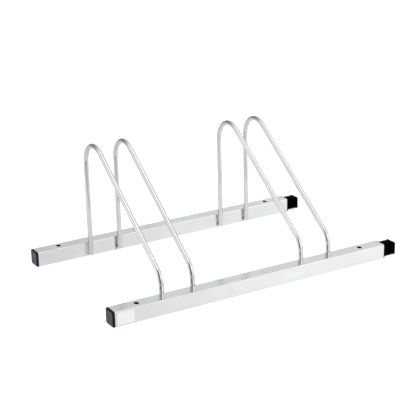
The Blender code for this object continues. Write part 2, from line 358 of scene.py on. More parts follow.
def moulded_plastic(name, deep, pale, ior, rough_low, rough_high, grain, panel=None):
    """Black injection-moulded plastic with the fine grain of an eroded mould,
    a few rubbed places and dust. A panel (x, y, half width, deep, pale) is the
    smoother middle of a face that looks along -X, painted a lighter grey as a
    painted sheen of that smoother face."""
    mat, g, shader = new_material(name)
    place = g.add("ShaderNodeTexCoord").outputs["Object"]
    tooth = g.noise(place, 2300.0, 3.0, 0.6)
    cloud = g.noise(place, 120.0, 3.0, 0.5, 0.2)
    rub = g.noise(g.vector_math("MULTIPLY", place, (900.0, 260.0, 260.0)), 1.0, 4.0, 0.7)
    rub = g.math("MULTIPLY", g.ramp(rub, 0.56, 0.70), g.ramp(cloud, 0.45, 0.65))
    body = g.mix(g.ramp(cloud, 0.30, 0.75), (*deep, 1.0), (*pale, 1.0))
    body = g.mix(
        g.math("MULTIPLY", rub, 0.35), body, (pale[0] * 1.9, pale[1] * 1.9, pale[2] * 1.9, 1.0)
    )
    rough = g.math(
        "ADD", g.ramp(cloud, 0.3, 0.75, rough_low, rough_high), g.math("MULTIPLY", rub, 0.1)
    )
    if panel is not None:
        face, middle, half, panel_deep, panel_pale = panel
        x, y, z = g.split(place)
        across = g.math(
            "MAXIMUM",
            g.math("ABSOLUTE", g.math("SUBTRACT", y, middle)),
            g.math("ABSOLUTE", g.math("SUBTRACT", z, MID_Z)),
        )
        flat = g.math(
            "MULTIPLY", g.ramp(across, half, half - 0.0008), g.ramp(x, face + 0.0010, face + 0.0006)
        )
        # painted sheen: the smoother face panel is painted a lighter grey
        sheen = g.mix(g.ramp(cloud, 0.25, 0.75), (*panel_deep, 1.0), (*panel_pale, 1.0))
        body = g.mix(flat, body, sheen)
        rough = g.math("SUBTRACT", rough, g.math("MULTIPLY", flat, 0.06))
    g.wire(body, shader.inputs["Base Color"])
    shader.inputs["Metallic"].default_value = 0.0
    shader.inputs["IOR"].default_value = ior
    g.wire(rough, shader.inputs["Roughness"])
    relief = g.math("ADD", tooth, g.math("MULTIPLY", rub, -0.6))
    g.wire(g.bump(relief, grain, 0.6), shader.inputs["Normal"])
    return mat


def label_paper(name):
    """Smooth coated white paper, blank, with faint fibres and ripples."""
    mat, g, shader = new_material(name)
    place = g.add("ShaderNodeTexCoord").outputs["Object"]
    fibres = g.noise(g.vector_math("MULTIPLY", place, (900.0, 900.0, 2600.0)), 1.0, 4.0, 0.7, 0.6)
    ripple = g.noise(place, 90.0, 2.0, 0.5, 0.3)
    body = g.mix(g.ramp(fibres, 0.35, 0.7), (0.680, 0.697, 0.697, 1.0), (0.658, 0.676, 0.677, 1.0))
    g.wire(body, shader.inputs["Base Color"])
    g.wire(g.ramp(ripple, 0.3, 0.7, 0.36, 0.48), shader.inputs["Roughness"])
    relief = g.math("ADD", g.math("MULTIPLY", ripple, 3.0), g.math("MULTIPLY", fibres, 0.25))
    g.wire(g.bump(relief, 0.00003, 0.5), shader.inputs["Normal"])
    return mat


# ---------------------------------------------------------------- mesh helpers
def rounded_square(half, radius, steps):
    """Points of a square with rounded corners, counterclockwise."""
    points = []
    for corner in range(4):
        start = corner * pi / 2
        cx = (half - radius) * (1 if corner in (0, 3) else -1)
        cy = (half - radius) * (1 if corner in (0, 1) else -1)
        for i in range(steps + 1):
            a = start + i / steps * pi / 2
            points.append((cx + radius * cos(a), cy + radius * sin(a)))
    return points


def place_mesh(name, work, mat, body, nodes, sharp=None, location=None):
    """Puts a bmesh in the scene as a piece of the rack."""
    bmesh.ops.recalc_face_normals(work, faces=work.faces)
    mesh = bpy.data.meshes.new(name)
    work.to_mesh(mesh)
    work.free()
    mesh.materials.append(mat)
    mesh.shade_smooth()
    if sharp is not None:
        mesh.set_sharp_from_angle(angle=radians(sharp))
    piece = bpy.data.objects.new(name, mesh)
    scene.collection.objects.link(piece)
    if location is not None:
        piece.location = location
    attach(piece, body)
    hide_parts(*nodes)
    return piece


def loft(work, rings, close_start=True, close_end=True):
    """Skins closed rings of points that all have the same count."""
    made = [[work.verts.new(p) for p in ring] for ring in rings]
    count = len(made[0])
    for one, two in zip(made, made[1:]):
        for i in range(count):
            j = (i + 1) % count
            work.faces.new((one[i], one[j], two[j], two[i]))
    if close_start:
        work.faces.new(made[0][::-1])
    if close_end:
        work.faces.new(made[-1])
    return made


def square_loft(profile, y, steps):
    """A body whose section along X is a rounded square. The profile is a list
    of (x, half width, corner radius)."""
    work = bmesh.new()
    rings = [
        [(x, y + p, MID_Z + q) for p, q in rounded_square(half, radius, steps)]
        for x, half, radius in profile
    ]
    loft(work, rings)
    return work


# ---------------------------------------------------------------- rails
def rail(name, y, mat):
    """Square tube with rolled corners, sawn and deburred ends, a faint weld
    line inside, and drilled bolt holes with a small countersink."""
    outer = rounded_square(TUBE / 2, R_OUT, 9)
    inner = rounded_square(BORE, R_IN, 4)
    # the bead of the tube's own weld stands a little proud inside, at the bottom
    bead = []
    for i in range(len(inner)):
        p, q = inner[i], inner[(i + 1) % len(inner)]
        bead.append(p)
        if p[1] < -BORE + 1e-6 and q[1] < -BORE + 1e-6 and q[0] - p[0] > 0.005:
            for k in range(9):
                t = -1 + k / 4
                bead.append((0.0009 * t, -BORE + 0.00016 * (1 - t * t)))
    work = bmesh.new()
    stops = [END_L, END_L + 0.001, END_R - 0.001, END_R]
    for loop, inward in ((outer, False), (bead, True)):
        rings = []
        for x in stops:
            rings.append([work.verts.new((x, y + p, MID_Z + q)) for p, q in loop])
        count = len(loop)
        for one, two in zip(rings, rings[1:]):
            for i in range(count):
                j = (i + 1) % count
                work.faces.new((one[i], one[j], two[j], two[i]))
        if inward:
            inside = rings
        else:
            outside = rings
    for end in (0, -1):
        edges = []
        for ring in (outside[end], inside[end]):
            for i in range(len(ring)):
                edges.append(work.edges.get((ring[i], ring[(i + 1) % len(ring)])))
        bmesh.ops.triangle_fill(work, use_beauty=True, edges=edges)
    bmesh.ops.recalc_face_normals(work, faces=work.faces)
    mesh = bpy.data.meshes.new(name)
    work.to_mesh(mesh)
    work.free()
    tube = bpy.data.objects.new(name, mesh)
    scene.collection.objects.link(tube)
    # drills: the hole itself, opened a little at the top and the bottom face
    drills = bmesh.new()
    for x in (END_L + HOLE_INSET, END_R - HOLE_INSET):
        sides = 56
        levels = [
            (-0.004, HOLE_R + 0.00035),
            (-0.00001, HOLE_R + 0.00035),
            (0.0, HOLE_R + 0.00034),
            (0.00012, HOLE_R + 0.00014),
            (0.00035, HOLE_R),
            (TUBE - 0.00035, HOLE_R),
            (TUBE - 0.00012, HOLE_R + 0.00014),
            (TUBE, HOLE_R + 0.00034),
            (TUBE + 0.00001, HOLE_R + 0.00035),
            (TUBE + 0.004, HOLE_R + 0.00035),
        ]
        rings = [
            [
                (x + r * cos(2 * pi * k / sides), y + r * sin(2 * pi * k / sides), z)
                for k in range(sides)
            ]
            for z, r in levels
        ]
        loft(drills, rings)
    bmesh.ops.recalc_face_normals(drills, faces=drills.faces)
    drill_mesh = bpy.data.meshes.new(name + "_drills")
    drills.to_mesh(drill_mesh)
    drills.free()
    drill = bpy.data.objects.new(name + "_drills", drill_mesh)
    scene.collection.objects.link(drill)
    cut = tube.modifiers.new("holes", "BOOLEAN")
    cut.operation = "DIFFERENCE"
    cut.solver = "EXACT"
    cut.object = drill
    rim = tube.modifiers.new("deburr", "BEVEL")
    rim.width = 0.00022
    rim.segments = 2
    rim.limit_method = "ANGLE"
    rim.angle_limit = radians(70)
    rim.use_clamp_overlap = True
    bpy.context.view_layer.update()
    graph = bpy.context.evaluated_depsgraph_get()
    final = bpy.data.meshes.new_from_object(tube.evaluated_get(graph))
    bpy.data.objects.remove(tube, do_unlink=True)
    bpy.data.objects.remove(drill, do_unlink=True)
    work = bmesh.new()
    work.from_mesh(final)
    bmesh.ops.remove_doubles(work, verts=work.verts, dist=1e-6)
    piece = place_mesh(name, work, mat, "frame", [name[: -len("_tube")]], 34)
    # the big flat faces keep their own normals
    even = piece.modifiers.new("flat_faces", "WEIGHTED_NORMAL")
    even.mode = "FACE_AREA"
    even.weight = 100
    even.keep_sharp = True
    return piece


front_marks = [(x + side * 0.0075, 0.0075, 0.55) for x in HOOP_X for side in (-1, 1)]
# the marks differ from weld to weld: a thin line beside the first hoop, a dark
# one beside the second; these bands are partly heat tint and partly painted shade beside the bars
rear_heat_and_shade_marks = [
    (HOOP_X[0] - 0.0106, 0.0011, 0.75),
    (HOOP_X[1] - 0.0064, 0.0032, 1.0),
    (HOOP_X[2] - 0.0062, 0.0028, 0.35),
    (HOOP_X[3] - 0.0064, 0.0032, 0.45),
]
rail("front_rail_tube", FRONT_Y, zinc_tube("zinc_tube_front", FRONT_Y, front_marks))
rail("rear_rail_tube", REAR_Y, zinc_tube("zinc_tube_rear", REAR_Y, rear_heat_and_shade_marks))


# ---------------------------------------------------------------- hoops
def hoop_line():
    """Centre line of a hoop in YZ as (y, z, tangent angle, bend share,
    distance along), from the rear foot to the front foot."""
    points = []
    # rear foot, upwards
    top = (ROD_REAR_Y - TOP_BEND_R, TOP_BEND_Z)
    turn = pi - LEG_SLOPE
    for i in range(15):
        z = FOOT_Z + (TOP_BEND_Z - FOOT_Z) * i / 15
        points.append((ROD_REAR_Y, z, pi / 2))
    steps = 48
    for i in range(steps + 1):
        a = turn * i / steps
        points.append(
            (top[0] + TOP_BEND_R * cos(a), top[1] + TOP_BEND_R * sin(a), a + pi / 2)
        )
    y, z, heading = points[-1]
    run = (y - ROD_FRONT_Y) / sin(LEG_SLOPE)
    corner_z = z - run * cos(LEG_SLOPE)
    tangent = LOW_BEND_R * tan(LEG_SLOPE / 2)
    low_y, low_z = ROD_FRONT_Y + LOW_BEND_R, corner_z - tangent
    start = (
        low_y + LOW_BEND_R * cos(pi - LEG_SLOPE),
        low_z + LOW_BEND_R * sin(pi - LEG_SLOPE),
    )
    for i in range(1, 16):
        t = i / 16
        points.append((y + (start[0] - y) * t, z + (start[1] - z) * t, heading))
    steps = 24
    for i in range(steps + 1):
        a = pi - LEG_SLOPE * (1 - i / steps)
        points.append((low_y + LOW_BEND_R * cos(a), low_z + LOW_BEND_R * sin(a), a + pi / 2))
    for i in range(1, 5):
        points.append((ROD_FRONT_Y, low_z + (FOOT_Z - low_z) * i / 4, -pi / 2))
    rows, along = [], 0.0
    for i, (y, z, heading) in enumerate(points):
        if i:
            along += hypot(y - points[i - 1][0], z - points[i - 1][1])
        rows.append([y, z, heading, along])
    # how far each point is into a bend, for the tool rubs
    spans = []
    top_end = ROD_REAR_Y - TOP_BEND_R + TOP_BEND_R * cos(turn)
    for row in rows:
        y, z = row[0], row[1]
        in_top = z >= TOP_BEND_Z - 1e-6 and y >= top_end - 1e-6
        in_low = z <= start[1] + 1e-6 and z >= low_z - 1e-6 and y < 0.0
        spans.append(1.0 if in_top or in_low else 0.0)
    smooth = []
    for i, row in enumerate(rows):
        total = weight = 0.0
        for j, other in enumerate(rows):
            w = max(0.0, 1 - abs(other[3] - row[3]) / 0.012)
            total += w * spans[j]
            weight += w
        smooth.append(total / weight)
    return [(*row, share) for row, share in zip(rows, smooth)]


LINE = hoop_line()


def hoop(number, x, mat):
    """One bent bar: round section swept along the line, sawn ends with a
    broken edge. The outside of a bend is a touch flattened by the former."""
    work = bmesh.new()
    straight = work.verts.layers.float_vector.new("straight")
    bend = work.verts.layers.float.new("bend")
    sides = 40
    total = LINE[-1][3]
    stations = []
    edge = 0.0004
    first, last = LINE[0], LINE[-1]
    stations.append((first, ROD_R - edge, 0.0))
    stations.append((first, ROD_R - edge * 0.3, edge * 0.3))
    stations.append((first, ROD_R, edge))
    for row in LINE[1:-1]:
        stations.append((row, ROD_R, None))
    stations.append((last, ROD_R, -edge))
    stations.append((last, ROD_R - edge * 0.3, -edge * 0.3))
    stations.append((last, ROD_R - edge, 0.0))
    rings = []
    for row, radius, shift in stations:
        y, z, heading, along, share = row
        ty, tz = cos(heading), sin(heading)
        ny, nz = -tz, ty  # in the bend's plane
        if shift is not None:
            sign = 1 if shift >= 0 and row is first else -1
            z = FOOT_Z + abs(shift)
            along = abs(shift) if row is first else total - abs(shift)
        ring = []
        for k in range(sides):
            a = 2 * pi * k / sides
            flat = 1.0 - 0.010 * share * max(0.0, -cos(a)) ** 4
            px, pn = radius * sin(a), radius * cos(a) * flat
            v = work.verts.new((x + px, y + ny * pn, z + nz * pn))
            v[straight] = (radius * cos(a) + number * 0.37, radius * sin(a), along)
            v[bend] = share
            ring.append(v)
        rings.append(ring)
    for one, two in zip(rings, rings[1:]):
        for i in range(sides):
            j = (i + 1) % sides
            work.faces.new((one[i], one[j], two[j], two[i]))
    # slightly dished sawn ends
    for ring, up in ((rings[0], 0.00006), (rings[-1], 0.00006)):
        centre = Vector((0, 0, 0))
        for v in ring:
            centre += v.co
        centre /= len(ring)
        inner = []
        for v in ring:
            n = work.verts.new(centre + (v.co - centre) * 0.5 + Vector((0, 0, up)))
            n[straight] = v[straight]
            inner.append(n)
        for i in range(sides):
            j = (i + 1) % sides
            work.faces.new((ring[i], ring[j], inner[j], inner[i]))
        work.faces.new(inner)
    return place_mesh(
        f"hoop_{number}_bar", work, mat, "frame", [f"hoop_{number}"], 50
    )


bar_metal = zinc_bar("zinc_bar")
for number, x in enumerate(HOOP_X, 1):
    hoop(number, x, bar_metal)


# ---------------------------------------------------------------- welds
def bead(name, node, x, y, way, side, z0, z1, seed, mat):
    """Short fillet bead in the groove between a bar and the rail's face. Its
    skin is rippled across, rounds off at both ends, and sinks a little into
    the bar and the rail."""
    work = bmesh.new()
    crest = work.verts.layers.float.new("crest")
    face = ROD_R + GAP
    rise = 26
    arc = 12
    root = Vector((0.0030, face - 0.0006))
    rings = []
    for i in range(rise + 1):
        t = i / rise
        z = z0 + (z1 - z0) * t
        # the ends taper into the groove
        taper = sqrt(max(0.0, 1 - abs(2 * t - 1) ** 3.2)) if 0 < i < rise else 0.12
        pulse = (z - z0) / 0.00095 + 0.35 * seed
        wave = 1 - abs(2 * (pulse % 1.0) - 1) ** 1.6
        wobble = noise.noise(Vector((seed * 3.7, t * 3.0, 0.3)))
        size = taper * (0.90 + 0.10 * wave + 0.07 * wobble)
        ring = []
        # free surface, from the bar to the rail's face
        for k in range(arc + 1):
            s = k / arc
            a = radians(16 + 8 * wobble)
            start = Vector((ROD_R * cos(a) - 0.0002, ROD_R * sin(a)))
            end = Vector((0.00735, face + 0.0002))
            point = start.lerp(end, s)
            bulge = Vector((0.0017, -0.0011)) * sin(pi * s) * 0.42
            point = point + bulge
            lump = noise.noise(Vector((seed + s * 2.4, z * 900.0, seed * 1.3)))
            point = root + (point - root) * (size + 0.03 * lump)
            ring.append((point, 0.5 + 0.5 * wave * sin(pi * s)))
        # the sides that are sunk in the rail and in the bar
        for k in (0.75, 0.5, 0.25):
            ring.append((root + (Vector((0.0062, face + 0.0004)) - root) * size * k + Vector((0, 0.0002)), 0.2))
        ring.append((root + Vector((-0.0008, 0.0006)) * size, 0.2))
        for k in (0.3, 0.65):
            ring.append((root + (Vector((0.0040, 0.0018)) - root) * size * k, 0.2))
        verts = []
        for point, glow in ring:
            v = work.verts.new((x + side * point.x, y + way * point.y, z))
            v[crest] = glow
            verts.append(v)
        rings.append(verts)
    count = len(rings[0])
    for one, two in zip(rings, rings[1:]):
        for i in range(count):
            j = (i + 1) % count
            work.faces.new((one[i], one[j], two[j], two[i]))
    work.faces.new(rings[0][::-1])
    work.faces.new(rings[-1])
    return place_mesh(name, work, mat, "frame", [node])


# most welds are grey; the first rear one is clean, with two burnt ends that are also painted shade where the
# bar meets the rail's edges
BURNT_AND_SHADE_SPOTS = [
    (HOOP_X[0] - 0.0086, 0.0262, 0.0023),
    (HOOP_X[0] - 0.0066, 0.0058, 0.0022),
]
grey_bead = weld_bead("weld_grey", (0.20, 0.185, 0.165), (0.52, 0.515, 0.51))
clean_bead = weld_bead("weld_clean", (0.60, 0.60, 0.60), (0.78, 0.78, 0.785), BURNT_AND_SHADE_SPOTS)
seed = 1
for row, y, way in (("front", ROD_FRONT_Y, -1), ("rear", ROD_REAR_Y, 1)):
    for number, x in enumerate(HOOP_X, 1):
        for height in ("lower", "upper"):
            for tag, side in (("left", -1), ("right", 1)):
                node = f"weld_{row}_{number}_{height}_{tag}"
                bead_metal = clean_bead if (row, number) == ("rear", 1) else grey_bead
                low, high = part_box(node)
                bead(
                    f"bead_{row}_{number}_{height}_{tag}",
                    node, x, y, way, side, low.z, high.z, seed, bead_metal,
                )
                seed += 1


def groove_fill(name, x, y, way, side, z0, z1, mat):
    """Smooth zinc that has run between two beads and fills the groove beside a
    bar, with a hollow skin and feathered ends."""
    work = bmesh.new()
    face = ROD_R + GAP
    rings = []
    rise, arc = 30, 14
    for i in range(rise + 1):
        t = i / rise
        z = z0 + (z1 - z0) * t
        size = max(1 - abs(2 * t - 1) ** 6, 0.0) ** 0.5 if 0 < i < rise else 0.25
        wobble = noise.noise(Vector((4.2, t * 2.2, 1.7)))
        reach = 0.0098 + 0.0006 * wobble
        a = radians(22 + 4 * wobble)
        start = Vector((ROD_R * cos(a) - 0.0002, ROD_R * sin(a)))
        end = Vector((reach, face + 0.0003))
        root = Vector((0.0052, face - 0.0003))
        ring = []
        for k in range(arc + 1):
            s = k / arc
            point = start.lerp(end, s) + Vector((-0.0006, 0.0007)) * sin(pi * s)
            ring.append(root + (point - root) * size)
        for point in ((0.0075, face + 0.0005), (0.0055, face + 0.0005), (0.0040, 0.0040)):
            ring.append(root + (Vector(point) - root) * size)
        rings.append([(x + side * p.x, y + way * p.y, z) for p in ring])
    loft(work, rings)
    return place_mesh(name, work, mat, "frame", [], 50)


groove_fill(
    "zinc_run_rear_1", HOOP_X[0], ROD_REAR_Y, 1, -1, 0.0060, 0.0270, clean_bead
)


# ---------------------------------------------------------------- end caps
def end_cap(name, node, body, y, mat):
    """Domed-edge head with a flat, slightly sunk panel, and a shank with three
    sealing fins inside the tube."""
    face = END_L - GAP - 0.004
    back = END_L - GAP
    profile = [
        (face + 0.00028, 0.0002, 0.0001),
        (face + 0.00028, 0.0060, 0.0016),
        (face + 0.00027, 0.0098, 0.0020),
        (face + 0.00022, 0.0104, 0.0021),
        (face + 0.00008, 0.0109, 0.0022),
        (face + 0.00001, 0.0113, 0.0022),
        (face + 0.00000, 0.0117, 0.0023),
    ]
    edge = 0.0021
    flat = TUBE / 2 - edge
    for i in range(9):
        a = i / 8 * pi / 2
        half = flat + edge * sin(a)
        profile.append((face + edge * (1 - cos(a)), half, 0.0034 - 0.0006 * (1 - i / 8)))
    profile += [
        (back - 0.00025, TUBE / 2, 0.0033),
        (back - 0.00008, TUBE / 2 - 0.00008, 0.0032),
        (back, TUBE / 2 - 0.00025, 0.0031),
        (back, 0.0112, 0.0016),
        (back + 0.0002, 0.01065, 0.0015),
        (back + 0.0004, 0.0105, 0.0015),
    ]
    for i in range(3):
        x = END_L + 0.0030 + i * 0.0052
        profile += [
            (x - 0.0002, 0.0105, 0.0015),
            (x - 0.00005, 0.0107, 0.0015),
            (x + 0.0001, FIT - 0.00035, 0.0016),
            (x + 0.0004, FIT - 0.0001, 0.0017),
            (x + 0.0008, FIT, 0.0018),
            (x + 0.00125, FIT - 0.0001, 0.0017),
            (x + 0.0014, FIT - 0.0003, 0.0016),
            (x + 0.00145, 0.0107, 0.0015),
            (x + 0.0016, 0.0105, 0.0015),
        ]
    tip = END_L + 0.018
    profile += [
        (tip - 0.0012, 0.0105, 0.0015),
        (tip - 0.0005, 0.0103, 0.0015),
        (tip - 0.0001, 0.0098, 0.0015),
        (tip, 0.0092, 0.0014),
        (tip, 0.0084, 0.0012),
        # the shank is a hollow box, open at its inner end
        (tip - 0.0002, 0.0083, 0.0012),
        (tip - 0.0150, 0.0081, 0.0012),
        (tip - 0.0154, 0.0077, 0.0011),
        (tip - 0.0154, 0.0002, 0.0001),
    ]
    work = square_loft(profile, y, 7)
    piece = place_mesh(name, work, mat, body, [node], 40)
    even = piece.modifiers.new("flat_faces", "WEIGHTED_NORMAL")
    even.weight = 80
    even.keep_sharp = True
    return piece


for row, y in (("front", FRONT_Y), ("rear", REAR_Y)):
    # the caps' face panels carry a painted sheen, a lighter grey
    panel = (END_L - GAP - 0.004, y, 0.0121, (0.0260, 0.0255, 0.0350), (0.0350, 0.0340, 0.0450))
    cap_plastic = moulded_plastic(
        f"black_plastic_{row}_cap",
        (0.0022, 0.0022, 0.0024), (0.0045, 0.0045, 0.0048), 1.22, 0.30, 0.40, 0.000012, panel,
    )
    end_cap(f"{row}_cap_moulding", f"{row}_end_cap", f"{row}_cap", y, cap_plastic)


# ---------------------------------------------------------------- inserts
COLLAR = 0.0018
RIB_FIRST = 0.0067
RIB_PITCH = 0.0054
RIB_THICK = 0.0022
NOSE = 0.0034
CORE = 0.0098


def rib_profile(x0, x1, half, radius, core=CORE, root=0.0004, edge=0.00035):
    """Sections of one rib with a filleted root, drafted flanks and rounded
    edges."""
    draft = 0.00036
    rows = []
    for i in range(3):
        a = i / 2 * pi / 2
        rows.append((x0 - root * (1 - sin(a)), core + root * (1 - cos(a)), 0.0020))
    for i in range(4):
        a = i / 3 * pi / 2
        rows.append((x0 + draft + edge * (1 - cos(a)), half - edge * (1 - sin(a)), radius))
    for i in range(4):
        a = (1 - i / 3) * pi / 2
        rows.append((x1 - draft - edge * (1 - cos(a)), half - edge * (1 - sin(a)), radius))
    for i in range(3):
        a = (1 - i / 2) * pi / 2
        rows.append((x1 + root * (1 - sin(a)), core + root * (1 - cos(a)), 0.0020))
    return rows


def coupling_insert(name, node, body, y, mat):
    """Ribbed plug with a collar in the tube's outline."""
    tail = END_R - 0.030
    profile = [
        (tail + 0.0120, 0.0002, 0.0001),
        (tail + 0.0120, 0.0074, 0.0011),
        (tail + 0.0116, 0.0078, 0.0012),
        (tail + 0.0002, 0.0080, 0.0012),
        (tail, 0.0082, 0.0013),
        (tail, 0.0090, 0.0016),
        (tail + 0.0001, 0.0095, 0.0019),
        (tail + 0.0005, CORE, 0.0020),
    ]
    for i in (-6, -5, -4, -3, -2):
        x = END_R + RIB_FIRST + i * RIB_PITCH
        profile += rib_profile(x - RIB_THICK / 2, x + RIB_THICK / 2, FIT, 0.0016)
    # collar: square against the tube, with the tube's rounded outline
    c0, c1 = END_R + GAP, END_R + GAP + COLLAR
    profile += [
        (c0, CORE, 0.0020),
        (c0, 0.0146, 0.0026),
        (c0 + 0.0001, 0.0149, 0.0027),
        (c0 + 0.0003, 0.0150, 0.0028),
        (c1 - 0.0004, 0.0150, 0.0028),
        (c1 - 0.0001, 0.01488, 0.0027),
        (c1, 0.0146, 0.0026),
        (c1, CORE + 0.0005, 0.0022),
        (c1 + 0.00015, CORE + 0.00015, 0.0021),
        (c1 + 0.0005, CORE, 0.0020),
    ]
    for i in (0, 1, 2, 3):
        x = END_R + RIB_FIRST + i * RIB_PITCH
        half = 0.0127
        profile += rib_profile(x - RIB_THICK / 2, x + RIB_THICK / 2, half, 0.0030)
    tip = END_R + 0.031
    n0 = tip - NOSE
    profile += [
        (n0 - 0.0004, CORE, 0.0020),
        (n0 - 0.00012, CORE + 0.00012, 0.0020),
        (n0, CORE + 0.0004, 0.0022),
        (n0, 0.0125, 0.0030),
        (n0 + 0.0001, 0.0128, 0.0030),
        (n0 + 0.0004, 0.0129, 0.0030),
    ]
    edge = 0.0011
    for i in range(7):
        a = i / 6 * pi / 2
        half = 0.0129 - edge * (1 - cos(a))
        profile.append((tip - edge + edge * sin(a), half, 0.0030 - 0.0006 * i / 6))
    profile += [
        (tip, 0.0085, 0.0020),
        (tip - 0.00008, 0.0081, 0.0019),
        (tip - 0.00025, 0.0078, 0.0018),
        (tip - 0.00030, 0.0072, 0.0018),
        (tip - 0.00030, 0.0002, 0.0001),
    ]
    work = square_loft(profile, y, 7)
    piece = place_mesh(name, work, mat, body, [node], 40)
    even = piece.modifiers.new("flat_faces", "WEIGHTED_NORMAL")
    even.weight = 80
    even.keep_sharp = True
    return piece


insert_plastic = moulded_plastic(
    "black_plastic_insert", (0.0006, 0.0006, 0.0007), (0.0013, 0.0013, 0.0014), 1.08, 0.42, 0.55, 0.00002
)
coupling_insert("front_insert_moulding", "front_coupling_insert", "front_insert", FRONT_Y, insert_plastic)
coupling_insert("rear_insert_moulding", "rear_coupling_insert", "rear_insert", REAR_Y, insert_plastic)


# ---------------------------------------------------------------- label
def label(mat):
    """Thin blank sheet stuck on the front rail: rounded corners, a little
    uneven, with its edges lifting by a few hundredths of a millimetre."""
    low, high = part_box("blank_label")
    cx, cz = (low.x + high.x) / 2, (low.z + high.z) / 2
    w, h, r = (high.x - low.x) / 2, (high.z - low.z) / 2, 0.0012
    face = FRONT_Y - TUBE / 2
    work = bmesh.new()
    nx, nz = 68, 48

    def outline(u, v):
        """A point of the unit square on the sheet, its corners rounded off."""
        px, pz = (2 * u - 1) * w, (2 * v - 1) * h
        ex, ez = abs(px) - (w - r), abs(pz) - (h - r)
        if ex > 0 and ez > 0:
            far = max(ex, ez)
            length = hypot(ex, ez)
            scale = far / length
            px = (1 if px > 0 else -1) * (w - r + ex * scale)
            pz = (1 if pz > 0 else -1) * (h - r + ez * scale)
        return px, pz

    sheets = []
    for front in (True, False):
        grid = []
        for i in range(nx + 1):
            column = []
            for j in range(nz + 1):
                px, pz = outline(i / nx, j / nz)
                border = min(w - abs(px), h - abs(pz))
                lift = 0.00004 * max(0.0, 1 - border / 0.002) ** 2
                wave = 0.00003 * noise.noise(Vector((px * 90, pz * 90, 2.0)))
                y = face - 0.00003 - (0.00012 if front else 0.0) - lift - abs(wave)
                column.append(work.verts.new((cx + px, y, cz + pz)))
            grid.append(column)
        sheets.append(grid)
        for i in range(nx):
            for j in range(nz):
                quad = (grid[i][j], grid[i + 1][j], grid[i + 1][j + 1], grid[i][j + 1])
                work.faces.new(quad if front else quad[::-1])
    a, b = sheets
    border = (
        [(i, 0) for i in range(nx)]
        + [(nx, j) for j in range(nz)]
        + [(i, nz) for i in range(nx, 0, -1)]
        + [(0, j) for j in range(nz, 0, -1)]
    )
    for k, (i, j) in enumerate(border):
        m, n = border[(k + 1) % len(border)]
        work.faces.new((a[i][j], b[i][j], b[m][n], a[m][n]))
    return place_mesh(
        "blank_label_sheet", work, mat, "frame", ["blank_label"], 60
    )


label(label_paper("coated_paper"))


# ---------------------------------------------------------------- studio
CAMERA_AZIMUTH = 0.531052476     # from +Y towards +X, looking away from the camera
CAMERA_DOWN = 0.33524627
CAMERA_ROLL = -0.0196923287
forward = Vector(
    (
        sin(CAMERA_AZIMUTH) * cos(CAMERA_DOWN),
        cos(CAMERA_AZIMUTH) * cos(CAMERA_DOWN),
        -sin(CAMERA_DOWN),
    )
)
level = Vector((cos(CAMERA_AZIMUTH), -sin(CAMERA_AZIMUTH), 0.0))
upright = level.cross(forward)
right = level * cos(CAMERA_ROLL) + upright * sin(CAMERA_ROLL)
up = upright * cos(CAMERA_ROLL) - level * sin(CAMERA_ROLL)
lens = bpy.data.cameras.new("camera")
lens.lens = 99.5083
lens.sensor_width = 36.0
lens.clip_start = 0.05
lens.clip_end = 60.0
camera = bpy.data.objects.new("camera", lens)
camera.matrix_world = Matrix(
    (
        (right.x, up.x, -forward.x, -1.10187),
        (right.y, up.y, -forward.y, -1.86536),
        (right.z, up.z, -forward.z, 0.85949),
        (0, 0, 0, 1),
    )
)
scene.collection.objects.link(camera)
scene.camera = camera


def plane(name, size, z, centre=(0.0, 0.0)):
    work = bmesh.new()
    bmesh.ops.create_grid(work, x_segments=1, y_segments=1, size=size)
    for v in work.verts:
        v.co.z = z
        v.co.x += centre[0]
        v.co.y += centre[1]
    mesh = bpy.data.meshes.new(name)
    work.to_mesh(mesh)
    work.free()
    obj = bpy.data.objects.new(name, mesh)
    scene.collection.objects.link(obj)
    return obj


# Pale floor. What the metal mirrors of it is the sheet below, which carries the
# floor's fall-off towards the unlit side of the studio.
floor = plane("floor", 14.0, -0.0002)
mat, g, shader = new_material("pale_floor")
shader.inputs["Base Color"].default_value = (0.50, 0.50, 0.50, 1.0)
shader.inputs["Roughness"].default_value = 0.9
shader.inputs["Specular IOR Level"].default_value = 0.0
shader.inputs["Emission Color"].default_value = (1.0, 1.0, 1.0, 1.0)
shader.inputs["Emission Strength"].default_value = 0.82
floor.data.materials.append(mat)
floor.visible_glossy = False

# Painted pools of light and shade on the mirrored sheet round the rack, seen
# only in reflections, as (strength, x, y, width, depth).
POOLS = [
    (0.045, -0.12, -0.22, 0.10, 0.05),
    (0.096, 0.06, -0.22, 0.10, 0.05),
    (-0.090, -0.30, 0.11, 0.10, 0.06),
    (-0.068, -0.12, 0.11, 0.10, 0.06),
    (-0.086, 0.24, 0.11, 0.10, 0.06),
    (-0.47, -0.50, -0.30, 0.12, 0.12),
    (-0.34, -0.28, -0.42, 0.12, 0.12),
    (-0.09, -0.60, -0.65, 0.20, 0.20),
    (0.31, -0.55, 0.05, 0.15, 0.15),
    (0.19, 0.25, -0.50, 0.20, 0.15),
    (0.29, -0.75, 0.45, 0.25, 0.25),
]
sheet = plane("floor_bounce", 7.0, -0.0004)
mat = bpy.data.materials.new("floor_bounce")
mat.use_nodes = True
g = Graph(mat.node_tree)
g.nodes.clear()
place = g.add("ShaderNodeNewGeometry").outputs["Position"]
x, y, z = g.split(place)
